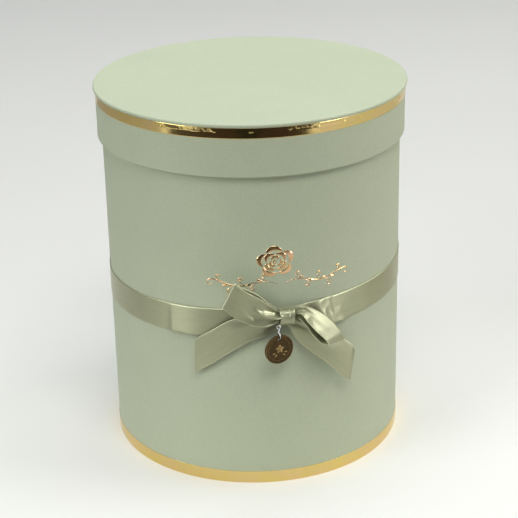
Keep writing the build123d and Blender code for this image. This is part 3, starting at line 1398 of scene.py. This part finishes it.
    def loops(self) -> None:
        """The two loops: the left one flattened with a pleat into the knot, the right one folded over."""
        left = self.strip(
            stations=[
                Station(-4.0, 5.9, 6.4, -4, 0, 0.26),
                Station(-4.8, 6.2, 7.0, -4, 0, 0.34),
                Station(-12.4, 8.4, 9.5, -3, 0, 0.87),
                Station(-21.4, 12.4, 10.8, 24, 0, 1.0),
                Station(-31.5, 21.2, 13.15, 26, 3, 1.0),
                Station(-33.5, 22.95, 13.0, 26, 3, 1.0),
                Station(-34.0, 23.4, 12.5, 26, 3, 1.0),
                Station(-33.6, 23.0, 12.0, 26, 3, 1.0),
                Station(-32.0, 21.7, 11.85, 26, 3, 1.0),
                Station(-22.0, 13.9, 8.0, 26, 0, 1.0),
                Station(-12.0, 8.0, 5.4, 6, 0, 0.74),
                Station(-4.8, 6.2, 4.4, -4, 0, 0.34),
                Station(-4.0, 5.9, 4.4, -4, 0, 0.26),
            ],
            folds=[
                Fold(-3.4, -0.26, 0.1, 0.15, 3.6, 7.5),
                Fold(2.1, -0.66, 0.05, 0.24, 6, 9),
                Fold(1.3, 0.30, 0.15, 0.34, 4, 10),
                Fold(-1.3, -0.12, 0.25, 0.17, 13, 6),
                Fold(1.2, -0.42, 0.3, 0.22, 17, 7),
            ],
            crown=0.15,
            rows=300,
        )
        self.lay("satin_loop_left", "bow_loop_left", left, Held.FOLDED)
        right = self.strip(
            stations=[
                Station(4.0, 6.9, 5.4, 14, -26, 0.20),
                Station(5.6, 8.0, 6.0, 20, -30, 0.26),
                Station(9.2, 8.8, 7.8, 53, -42, 0.36),
                Station(14.0, 4.9, 10.2, 72, -38, 0.62),
                Station(20.2, -2.1, 14.2, 90, -34, 0.95),
                Station(25.5, -11.4, 18.6, 101, -30, 0.99),
                Station(26.0, -12.9, 18.3, 102, -30, 1.0),
                Station(25.9, -13.1, 17.5, 103, -29, 1.04),
                Station(25.6, -13.1, 17.0, 103, -29, 1.06),
                Station(24.6, -12.6, 16.4, 101, -29, 1.06),
                Station(19.5, -5.9, 12.0, 92, -33, 0.99),
                Station(13.6, 1.6, 8.0, 74, -38, 0.62),
                Station(8.6, 4.4, 6.0, 56, -40, 0.36),
                Station(5.6, 4.4, 4.6, 20, -30, 0.24),
                Station(4.0, 4.4, 4.4, 16, -28, 0.2),
            ],
            folds=[
                Fold(-0.8, 0.0, 0.0, 0.34, 5, 7),
                Fold(0.5, 0.6, -0.1, 0.3, 8, 8),
                Fold(0.35, -0.5, 0.1, 0.4, 18, 8),
            ],
            crown=0.1,
            rows=300,
        )
        self.lay("satin_loop_right", "bow_loop_right", right, Held.FOLDED)

    def build(self) -> None:
        """Builds the ribbon and its bow."""
        self.band()
        self.knot()
        self.tails()
        self.loops()


# Charm and its wire


@dataclass
class CharmWire:
    """Bright wire twisted on itself: an eye at the bow, a twisted shank and a ring through the charm.

    Attributes:
        wire: Half the wire's thickness, in millimetres.
        eye: Radius of the eye, to the wire's middle.
        ring: Radius of the ring.
        strand_offset: Distance of each strand's middle from the shank's.
        twists: Turns of the shank.
        steps: Steps along the shank.
    """

    wire: float = 0.35
    eye: float = 1.15
    ring: float = 2.2
    strand_offset: float = 0.33
    twists: float = 1.75
    steps: int = 44

    def hoop(self, shape: Shape, middle: Vector, axis: Vector, radius: float) -> None:
        """Adds a closed ring of wire.

        Args:
            shape: What it is added to.
            middle: Its middle.
            axis: Its axis, level.
            radius: Its radius to the wire's middle.
        """
        section = bmesh.ops.create_circle(shape, segments=16, radius=self.wire)["verts"]
        turn = AXIS_Z.rotation_difference(axis.cross(AXIS_Z).normalized()).to_matrix()
        place = Matrix.Translation(middle + AXIS_Z * radius) @ turn.to_4x4()
        bmesh.ops.transform(shape, matrix=place, verts=section)
        edges = list({e for v in section for e in v.link_edges})
        bmesh.ops.spin(
            shape, geom=section + edges, cent=middle, axis=axis, angle=2 * math.pi, steps=56, use_merge=True,
        )

    def strand(self, shape: Shape, foot: Vector, rise: float, start: float) -> None:
        """Adds one strand of the twisted shank.

        Args:
            shape: What it is added to.
            foot: The shank's lower end.
            rise: The shank's length.
            start: The strand's angle at the foot, in radians.
        """
        section = bmesh.ops.create_circle(shape, cap_ends=True, segments=14, radius=self.wire * 0.92)["verts"]
        way = level(start)
        around = 2 * math.pi * self.strand_offset * self.twists
        tangent = Vector((-way.y, way.x, 0)) * around + AXIS_Z * rise
        turn = AXIS_Z.rotation_difference(tangent.normalized()).to_matrix().to_4x4()
        place = Matrix.Translation(foot + way * self.strand_offset) @ turn
        bmesh.ops.transform(shape, matrix=place, verts=section)
        faces = list({f for v in section for f in v.link_faces})
        edges = list({e for v in section for e in v.link_edges})
        bmesh.ops.spin(
            shape, geom=section + edges + faces, cent=foot, axis=AXIS_Z, dvec=(0, 0, rise / self.steps),
            angle=2 * math.pi * self.twists, steps=self.steps,
        )

    def build(self) -> None:
        """Builds the wire."""
        joints = {joint["name"]: joint for joint in frame["joints"]}
        pivot = Vector(joints["hanger_swing"]["pos_m"]) / MM
        centre = Vector(joints["charm_tilt"]["pos_m"]) / MM
        shape = bmesh.new()
        self.hoop(shape, pivot, Vector((0, 1, 0)), self.eye)
        self.hoop(shape, centre, level(CHARM_TURN), self.ring)
        foot = centre + AXIS_Z * (self.ring - self.wire * 0.4)
        rise = pivot.z - self.eye + self.wire * 0.4 - foot.z
        for start in (0.0, math.pi):
            self.strand(shape, Vector((pivot.x, pivot.y, foot.z)), rise, start + 0.6)
        bmesh.ops.recalc_face_normals(shape, faces=shape.faces)
        Part("twisted_wire", Body.HANGER, BRIGHT_WIRE, ("charm_hanger",)).make(shape)


@dataclass
class CharmRelief:
    """A small blossom with leaves and a ring of beads, raised on the charm's face.

    Attributes:
        plate: The charm's thickness, in millimetres.
        sunk: How far its field is sunk.
        petals: Number of petals.
        petal_reach: The blossom's radius.
        bead_reach: Radius of the ring of beads.
        beads: Number of beads in a full ring.
        hole_up: Height of the charm's hole over its middle.
        hole_clear: Distance from the hole within which no bead is set.
    """

    plate: float = 1.5
    sunk: float = 0.25
    petals: int = 5
    petal_reach: float = 2.25
    bead_reach: float = 7.7
    beads: int = 40
    hole_up: float = 7.0
    hole_clear: float = 2.4

    def __post_init__(self) -> None:
        """Finds the charm's middle in the frame."""
        low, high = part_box("charm_disc")
        self.middle = (low + high) / 2 / MM

    def seat(self) -> Matrix:
        """The charm's face as a matrix: across, up and out of its sunk field."""
        across, out = level(CHARM_TURN), level(CHARM_TURN - math.pi / 2)
        seat = Matrix((across, AXIS_Z, out)).transposed().to_4x4()
        return Matrix.Translation(self.middle + out * (self.plate / 2 - self.sunk)) @ seat

    def drop(self, shape: Shape, middle: Vector, size: Vector, turn: float, pointed: float = 0.0) -> None:
        """Adds a low domed drop: a petal, leaf or bead.

        Args:
            shape: What it is added to.
            middle: Its middle on the face.
            size: Its half length, half width and height.
            turn: Its turn on the face, in radians.
            pointed: How far its far end draws to a point, 0 to 1.
        """
        verts = bmesh.ops.create_uvsphere(shape, u_segments=16, v_segments=8, radius=1.0)["verts"]
        for vert in verts:
            vert.co.y *= 1 - pointed * smooth((vert.co.x + 0.2) / 1.2) * 0.75
        place = Matrix.Translation(middle) @ Matrix.Rotation(turn, 4, "Z") @ Matrix.Diagonal((*size, 1))
        bmesh.ops.transform(shape, matrix=place, verts=verts)

    def build(self) -> None:
        """Builds the relief and dresses the charm."""
        middle = tuple(self.middle * MM)
        dress("charm_disc", Bronze("antique bronze", Slot.BRONZE, (0.068, 0.044, 0.017), middle))
        shape = bmesh.new()
        centre = Vector((0.3, 0.2, 0))
        for k in range(self.petals):
            turn = 2 * math.pi * k / self.petals + math.pi / 2
            self.drop(shape, centre + level(turn) * self.petal_reach * 0.72, Vector((1.35, 0.92, 0.24)), turn)
        self.drop(shape, centre, Vector((0.72, 0.72, 0.3)), 0)
        for side in (-1, 1):
            for reach, lift in ((4.3, -2.6), (3.0, -4.4)):
                turn = math.atan2(lift, side * reach) + side * 0.5
                place = centre + Vector((side * reach, lift, 0))
                self.drop(shape, place, Vector((1.25, 0.5, 0.2)), turn, 1.0)
        for k in range(self.beads):
            place = level(2 * math.pi * k / self.beads) * self.bead_reach
            if (place - Vector((0, self.hole_up, 0))).length > self.hole_clear:
                self.drop(shape, place, Vector((0.22, 0.22, 0.16)), 0)
        bmesh.ops.transform(shape, matrix=self.seat(), verts=shape.verts)
        rubbed = Bronze("rubbed bronze", Slot.BRONZE, (0.17, 0.118, 0.05), middle, 0.0, 0.002, 0.5)
        Part("charm_blossom", Body.CHARM, rubbed).make(shape)


# Foil printed on the wall


@dataclass(frozen=True)
class Stroke:
    """A pen stroke on the wall through a few places, thin at its ends and full in between.

    Attributes:
        places: Way across and up of each place, in millimetres.
        full: Its greatest width.
        fine: Its least width.
    """

    places: tuple[tuple[float, float], ...]
    full: float = 0.8
    fine: float = 0.16

    def point(self, along: float) -> Vector:
        """A point on the smooth line through the places."""
        last = len(self.places) - 1
        at = min(last - 1e-6, along * last)
        index = int(at)
        share = at - index
        p0, p1, p2, p3 = (Vector(self.places[max(0, min(last, index + k))]) for k in (-1, 0, 1, 2))
        return 0.5 * (
            2 * p1 + (p2 - p0) * share + (2 * p0 - 5 * p1 + 4 * p2 - p3) * share**2
            + (3 * p1 - p0 - 3 * p2 + p3) * share**3
        )

    def place(self, across: float, along: float) -> Vector:
        """A point of the stroke from its shares across and along."""
        ahead = self.point(min(1, along + 0.01)) - self.point(max(0, along - 0.01))
        side = Vector((-ahead.y, ahead.x)).normalized()
        width = self.fine + (self.full - self.fine) * math.sin(math.pi * along) ** 1.3
        return self.point(along) + side * (across - 0.5) * width


@dataclass
class WallPrint:
    """Rose-gold foil printed on the wall: a blossom of crescents over a scrolling vine.

    Attributes:
        thickness: The foil's thickness, in millimetres.
        sunk: How much of it is pressed into the paper.
        wall: Size of the cover paper.
        blossom: The blossom's middle: way round the wall from the front, and height.
        blossom_size: Its radius.
        blossom_stretch: How much wider than high it is.
        vine_place: The vine's middle, as the blossom's.
    """

    thickness: float = 0.05
    sunk: float = 0.01
    wall: Round = measured("body_wrap")
    blossom: tuple[float, float] = (-5.3, 160.0)
    blossom_size: float = 10.4
    blossom_stretch: float = 1.13
    vine_place: tuple[float, float] = (-2.3, 145.0)

    def press(self, shape: Shape, name: str) -> None:
        """Rolls a flat design on to the wall and makes it a piece.

        Args:
            shape: The design, flat: across, up. It is freed.
            name: The piece's name.
        """
        bmesh.ops.recalc_face_normals(shape, faces=shape.faces)
        if shape.faces and sum(f.normal.z for f in shape.faces) < 0:
            bmesh.ops.reverse_faces(shape, faces=shape.faces)
        raised = bmesh.ops.extrude_face_region(shape, geom=shape.faces[:])["geom"]
        verts = [g for g in raised if isinstance(g, bmesh.types.BMVert)]
        bmesh.ops.translate(shape, vec=(0, 0, self.thickness), verts=verts)
        bmesh.ops.recalc_face_normals(shape, faces=shape.faces)
        for vert in shape.verts:
            vert.co = wall_place(vert.co.x, vert.co.y, vert.co.z - self.sunk, self.wall.radius, 0)
        Part(name, Body.BOX, PRINT_FOIL).make(shape, level_normals=True)

    def petal(
        self, shape: Shape, reach: float, start: float, sweep: float, thick: float, lift: float
    ) -> None:
        """Adds one crescent petal to the blossom.

        Args:
            shape: What it is added to.
            reach: Radius of its inner line.
            start: Angle at which it starts, in degrees.
            sweep: Angle that it covers.
            thick: Its greatest thickness.
            lift: How much its radius grows along it.
        """
        patch = bmesh.new()
        bmesh.ops.create_grid(patch, x_segments=5, y_segments=26, size=0.5)
        for vert in patch.verts:
            across, along = vert.co.x + 0.5, vert.co.y + 0.5
            angle = math.radians(start + sweep * along)
            full = math.sin(math.pi * min(1.0, max(0.0, along))) ** 0.62
            radius = reach + lift * along + thick * full * (across + 0.08 * full)
            x = radius * math.cos(angle) * self.blossom_stretch + self.blossom[0]
            vert.co = (x, radius * math.sin(angle) * 0.98 + self.blossom[1], 0)
        bmesh.ops.remove_doubles(patch, verts=patch.verts, dist=0.004)
        self.join(shape, patch)

    def join(self, shape: Shape, patch: Shape) -> None:
        """Adds a patch to a shape and frees it."""
        mesh = bpy.data.meshes.new("patch")
        patch.to_mesh(mesh)
        patch.free()
        shape.from_mesh(mesh)
        bpy.data.meshes.remove(mesh)

    def rose(self) -> None:
        """A blossom of crescents, closing to a spiral heart."""
        shape = bmesh.new()
        size = self.blossom_size
        self.petal(shape, size * 0.02, 20, 300, size * 0.11, size * 0.05)
        rings = ((0.21, 3, 114, 0.19, 40), (0.44, 4, 86, 0.24, 5), (0.715, 5, 69, 0.30, 62))
        for reach, count, sweep, thick, first in rings:
            for k in range(count):
                start = first + 360 * k / count
                self.petal(shape, size * reach, start, sweep, size * thick, size * 0.02)
        self.press(shape, "rose_print")

    def vine(self) -> list[Stroke]:
        """The vine's strokes: a waving stem with curling tendrils and leaves, alike on both sides."""
        strokes = []
        for way in (-1, 1):
            stem = (
                (2, -0.3), (9, 1.7), (17, 0.9), (25, -1.2), (33, -0.4),
                (40, 2.2), (45.5, 2.8), (47.3, 0.6), (45, -0.7), (43.4, 0.9),
            )
            strokes.append(Stroke(tuple((way * x, y) for x, y in stem), 1.0, 0.24))
            for x, y, tall in ((8, 1.5, 1), (15, 1.2, -1), (22.5, -0.6, 1), (30, -1.0, -1), (37, 1.0, 1)):
                curl = (
                    (x, y), (x + 2.4, y + 1.4 * tall), (x + 4.2, y + 3.4 * tall), (x + 3.6, y + 5.0 * tall),
                    (x + 1.9, y + 4.7 * tall), (x + 1.9, y + 3.3 * tall), (x + 3.0, y + 3.2 * tall),
                )
                strokes.append(Stroke(tuple((way * a, b) for a, b in curl), 0.8, 0.18))
            for x, y, tall in ((12, 1.8, 1), (19, 0.4, -1), (27, -1.3, 1), (34, 0.0, -1)):
                leaf = ((x, y), (x + 1.6, y + 1.0 * tall), (x + 3.4, y + 1.3 * tall))
                strokes.append(Stroke(tuple((way * a, b) for a, b in leaf), 1.5, 0.1))
        return strokes

    def scroll(self) -> None:
        """The vine under the blossom."""
        shape = bmesh.new()
        for stroke in self.vine():
            patch = bmesh.new()
            rows = 12 * (len(stroke.places) - 1)
            bmesh.ops.create_grid(patch, x_segments=2, y_segments=rows, size=0.5)
            for vert in patch.verts:
                flat = stroke.place(vert.co.x + 0.5, vert.co.y + 0.5)
                vert.co = (flat.x + self.vine_place[0], flat.y + self.vine_place[1], 0)
            self.join(shape, patch)
        self.press(shape, "scroll_print")

    def build(self) -> None:
        """Builds the print."""
        self.rose()
        self.scroll()


# Studio


@dataclass(frozen=True)
class Lamp:
    """A soft rectangular light.

    Attributes:
        name: Its name.
        place: Where it stands, in metres.
        size: Its width and height.
        power: In watts.
        colour: Its colour.
        gloss_only: Whether it only makes highlights.
    """

    name: str
    place: tuple[float, float, float]
    size: tuple[float, float]
    power: float
    colour: Colour
    gloss_only: bool = False

    def build(self) -> None:
        """Hangs the light, aimed at the box's middle."""
        light = bpy.data.lights.new(self.name, "AREA")
        light.shape, light.size, light.size_y = "RECTANGLE", *self.size
        light.energy, light.color = self.power, self.colour
        holder = bpy.data.objects.new(self.name, light)
        bpy.context.scene.collection.objects.link(holder)
        holder.location = self.place
        holder.visible_diffuse, holder.visible_camera = not self.gloss_only, False
        way = Vector((0, 0, 0.12)) - Vector(self.place)
        holder.rotation_euler = way.to_track_quat("-Z", "Y").to_euler()


@dataclass(frozen=True)
class Card:
    """A level card under the floor, which lights and mirrors see and the camera doesn't.

    Attributes:
        name: Its name.
        colour: Its colour.
        aside: Its reach to the camera's right of the box, from and to, in metres.
        ahead: Its reach past the box, away from the camera, from and to.
    """

    name: str
    colour: Colour
    aside: tuple[float, float]
    ahead: tuple[float, float]


@dataclass
class Studio:
    """A pale floor that only the camera sees, cards beneath it for the foil to mirror, lights and the camera.

    Attributes:
        camera_place: Where the camera stands, in metres.
        aim: Which way it looks.
        roll: Its turn about that way, in degrees.
        lens: Its lens, in millimetres.
        floor: The floor's colour.
        floor_size: The floor's width, in metres.
        floor_fade: How far painted shade darkens the floor to the back.
        floor_glow: How strongly painted light makes it glow far off.
        card_step: Height between one card and the next, in metres.
        air: The surroundings' colour.
        air_strength: Their strength as a light.
        air_seen: How much stronger the camera sees them.
        cards: The cards, each over the one before.
        lamps: The lights.
    """

    camera_place: tuple[float, float, float] = (-0.1805, -0.9463, 0.5299)
    aim: tuple[float, float, float] = (0.1756, 0.9032, -0.3916)
    roll: float = -1.256
    lens: float = 104.04
    floor: Colour = (0.92, 0.925, 0.915)
    floor_size: float = 30.0
    floor_fade: float = 0.17
    floor_glow: float = 0.62
    card_step: float = 0.0001
    air: Colour = (0.90, 0.92, 0.92)
    air_strength: float = 0.11
    air_seen: float = 0.66
    cards: tuple[Card, ...] = (
        Card("bounce floor", (0.66, 0.65, 0.62), (-15.0, 15.0), (-15.0, 15.0)),
        Card("near bounce floor", (0.80, 0.79, 0.75), (-0.17, 0.17), (-0.17, 0.17)),
        Card("dim left floor", (0.36, 0.35, 0.33), (-3.0, -0.42), (-0.37, 3.0)),
        Card("dim right floor", (0.54, 0.53, 0.49), (0.62, 3.0), (-2.0, 3.0)),
        Card("brown right floor", (0.42, 0.37, 0.28), (0.28, 0.50), (-0.03, 0.60)),
        Card("dark far floor", (0.020, 0.010, 0.006), (-3.0, 0.54), (-3.0, -0.452)),
        Card("dark middle floor", (0.003, 0.002, 0.002), (-0.12, 0.075), (-3.0, -0.452)),
    )
    lamps: tuple[Lamp, ...] = (
        Lamp("overhead", (0.10, 0.55, 2.60), (2.6, 2.0), 39.0, (0.98, 1.0, 0.99)),
        Lamp("front top", (0.10, -1.70, 2.80), (1.8, 1.0), 38.0, (1.0, 0.98, 0.92)),
        Lamp("left window", (-2.40, -1.00, 1.50), (1.6, 1.7), 31.0, (0.98, 1.0, 0.98)),
        Lamp("right window", (2.50, -0.45, 1.60), (1.6, 1.7), 29.0, (1.0, 0.985, 0.93)),
        Lamp("right glint", (2.20, 0.10, 1.40), (1.0, 1.0), 11.0, (1.0, 1.0, 0.97), True),
        Lamp("low right glint", (1.50, -1.30, 0.42), (0.7, 0.6), 15.0, (1.0, 1.0, 0.98), True),
        Lamp("low left glint", (-1.90, -0.75, 0.36), (0.7, 0.6), 11.0, (0.98, 1.0, 1.0), True),
    )

    def sheet(
        self, name: str, size: tuple[float, float], place: Vector, turn: float, finish: Finish
    ) -> bpy.types.Object:
        """Lays a flat stage sheet.

        Args:
            name: Its name.
            size: Its width and depth, in metres.
            place: Its middle.
            turn: Its turn about the upright, in radians.
            finish: Its finish.

        Returns:
            The sheet.
        """
        shape = bmesh.new()
        bmesh.ops.create_grid(shape, x_segments=8, y_segments=8, size=0.5)
        bmesh.ops.scale(shape, vec=(*size, 1), verts=shape.verts)
        matrix = Matrix.Translation(place) @ Matrix.Rotation(turn, 4, "Z")
        bmesh.ops.transform(shape, matrix=matrix, verts=shape.verts)
        mesh = bpy.data.meshes.new(name)
        shape.to_mesh(mesh)
        shape.free()
        mesh.materials.append(finish.material())
        sheet = bpy.data.objects.new(name, mesh)
        bpy.context.scene.collection.objects.link(sheet)
        return sheet

    def lay_floor(self, forward: Vector) -> None:
        """Lays the floor and the cards beneath it.

        Args:
            forward: Which way the camera looks.
        """
        # The floor that the camera sees carries painted shade towards its back and painted light far off.
        pale = Plain("pale floor", Slot.LINER, self.floor, fade=self.floor_fade, glow=self.floor_glow)
        seen = self.sheet("floor", (self.floor_size, self.floor_size), Vector((0, 0, 0)), 0, pale)
        seen.visible_diffuse = seen.visible_glossy = seen.visible_shadow = seen.visible_transmission = False
        ahead = Vector((forward.x, forward.y, 0)).normalized()
        turn = math.atan2(-ahead.x, ahead.y)
        aside = Vector((ahead.y, -ahead.x, 0))
        for layer, card in enumerate(self.cards):
            (west, east), (near, far) = card.aside, card.ahead
            drop = AXIS_Z * self.card_step * (len(self.cards) - layer)
            middle = aside * (west + east) / 2 + ahead * (near + far) / 2 - drop
            finish = Plain(card.name, Slot.LINER, card.colour, 0.9)
            laid = self.sheet(card.name, (east - west, far - near), middle, turn, finish)
            laid.visible_camera = laid.visible_shadow = laid.visible_transmission = False

    def fill_air(self) -> None:
        """Fills the surroundings with dim light, which the camera sees brighter."""
        world = bpy.data.worlds.new("studio air")
        world.use_nodes = True
        nodes, links = world.node_tree.nodes, world.node_tree.links
        background, strength = nodes["Background"], nodes.new("ShaderNodeMath")
        background.inputs["Color"].default_value = (*self.air, 1)
        strength.operation = "MULTIPLY_ADD"
        strength.inputs[1].default_value, strength.inputs[2].default_value = self.air_seen, self.air_strength
        links.new(nodes.new("ShaderNodeLightPath").outputs["Is Camera Ray"], strength.inputs[0])
        links.new(strength.outputs[0], background.inputs["Strength"])
        bpy.context.scene.world = world

    def set_camera(self, forward: Vector) -> None:
        """Sets the camera.

        Args:
            forward: Which way it looks.
        """
        lens = bpy.data.cameras.new("camera")
        lens.lens, lens.sensor_width, lens.clip_start = self.lens, 36.0, 0.01
        camera = bpy.data.objects.new("camera", lens)
        bpy.context.scene.collection.objects.link(camera)
        right = forward.cross(AXIS_Z).normalized()
        up = right.cross(forward)
        roll = math.radians(self.roll)
        across = right * math.cos(roll) + up * math.sin(roll)
        upward = up * math.cos(roll) - right * math.sin(roll)
        matrix = Matrix((across, upward, -forward)).transposed().to_4x4()
        matrix.translation = Vector(self.camera_place)
        camera.matrix_world = matrix
        bpy.context.scene.camera = camera

    def build(self) -> None:
        """Builds the studio and sets the camera."""
        forward = Vector(self.aim).normalized()
        self.lay_floor(forward)
        for lamp in self.lamps:
            lamp.build()
        self.fill_air()
        bpy.context.scene.view_settings.view_transform = "Standard"
        self.set_camera(forward)


def main() -> None:
    """Builds the whole flower box and its studio."""
    logging.basicConfig(level=logging.INFO, format="%(name)s: %(message)s", force=True)
    Studio().build()
    BoxBody().build()
    Lid().build()
    WallPrint().build()
    Bow().build()
    CharmWire().build()
    CharmRelief().build()


if __name__ == "__main__":
    main()
